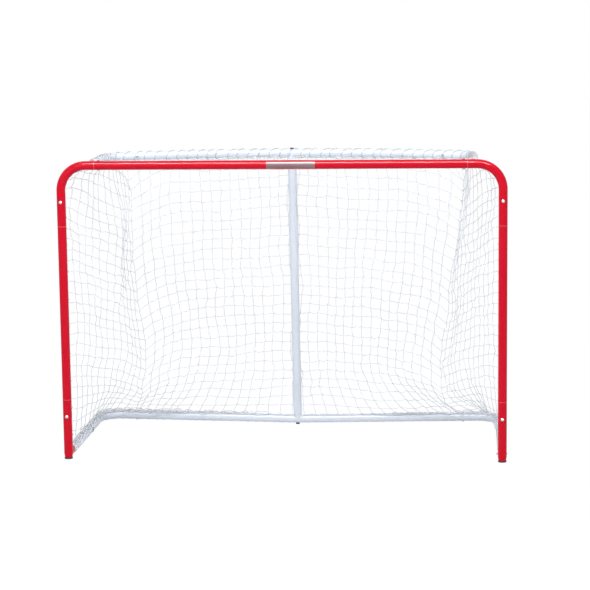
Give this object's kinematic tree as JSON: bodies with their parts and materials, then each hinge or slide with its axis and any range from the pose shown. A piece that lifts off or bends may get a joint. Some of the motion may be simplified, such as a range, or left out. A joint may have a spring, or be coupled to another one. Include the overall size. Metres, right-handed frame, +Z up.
{
  "type": "street hockey goal",
  "caption": "Free-standing street hockey goal: a red tubular front frame with rounded top corners, a white bowed top shelf, a white base and centre brace, and a laced square-mesh net",
  "frame": {"origin": "on the floor, at the middle of the goal's bounding box seen from above", "axes": "+X to the right seen from the front of the mouth, +Y to the back of the goal, +Z up"},
  "size_m": [1.913, 0.8366, 1.2941],
  "materials": {
    "red_coat": "gloss red powder coat over steel tube",
    "white_coat": "gloss cool-white powder coat over steel tube",
    "cap_rubber": "matt black moulded rubber",
    "dark_steel": "blackened steel bolt",
    "red_bolt": "bolts coated red like the frame",
    "zinc": "bright zinc-plated steel",
    "hook_plastic": "red moulded plastic net hooks",
    "net_twine": "white polyester netting twine",
    "lacing_cord": "white braided cord",
    "label_film": "blank silver-white film label"
  },
  "bodies": {
    "root": {"crossbar": "red_coat", "corner_left": "red_coat", "corner_right": "red_coat", "post_left": "red_coat", "post_right": "red_coat", "leg_left": "red_coat", "leg_right": "red_coat", "foot_cap_left": "cap_rubber", "foot_cap_right": "cap_rubber", "shelf_side_left": "white_coat", "shelf_side_right": "white_coat", "shelf_bar": "white_coat", "base_side_left": "white_coat", "base_side_right": "white_coat", "base_bar": "white_coat", "centre_post": "white_coat", "post_inserts": "zinc", "centre_top_bolt": "dark_steel", "centre_foot_bolt": "dark_steel", "post_bolts": "zinc", "post_nuts": "zinc", "crossbar_bolts": "red_bolt", "crossbar_nuts": "zinc", "stub_bolts": "zinc", "stub_nuts": "zinc", "base_seam_bolts": "zinc", "base_seam_nuts": "zinc", "shelf_seam_bolts": "zinc", "shelf_seam_nuts": "zinc", "hooks_left": "hook_plastic", "hooks_right": "hook_plastic", "hooks_top": "hook_plastic", "edge_ropes": "lacing_cord", "net_left": "net_twine", "net_right": "net_twine", "net_top": "net_twine", "net_back_left": "net_twine", "net_back_right": "net_twine", "net_corner_left": "net_twine", "net_corner_right": "net_twine", "shelf_lacing": "lacing_cord", "base_lacing": "lacing_cord", "label": "label_film"}
  },
  "joints": []
}
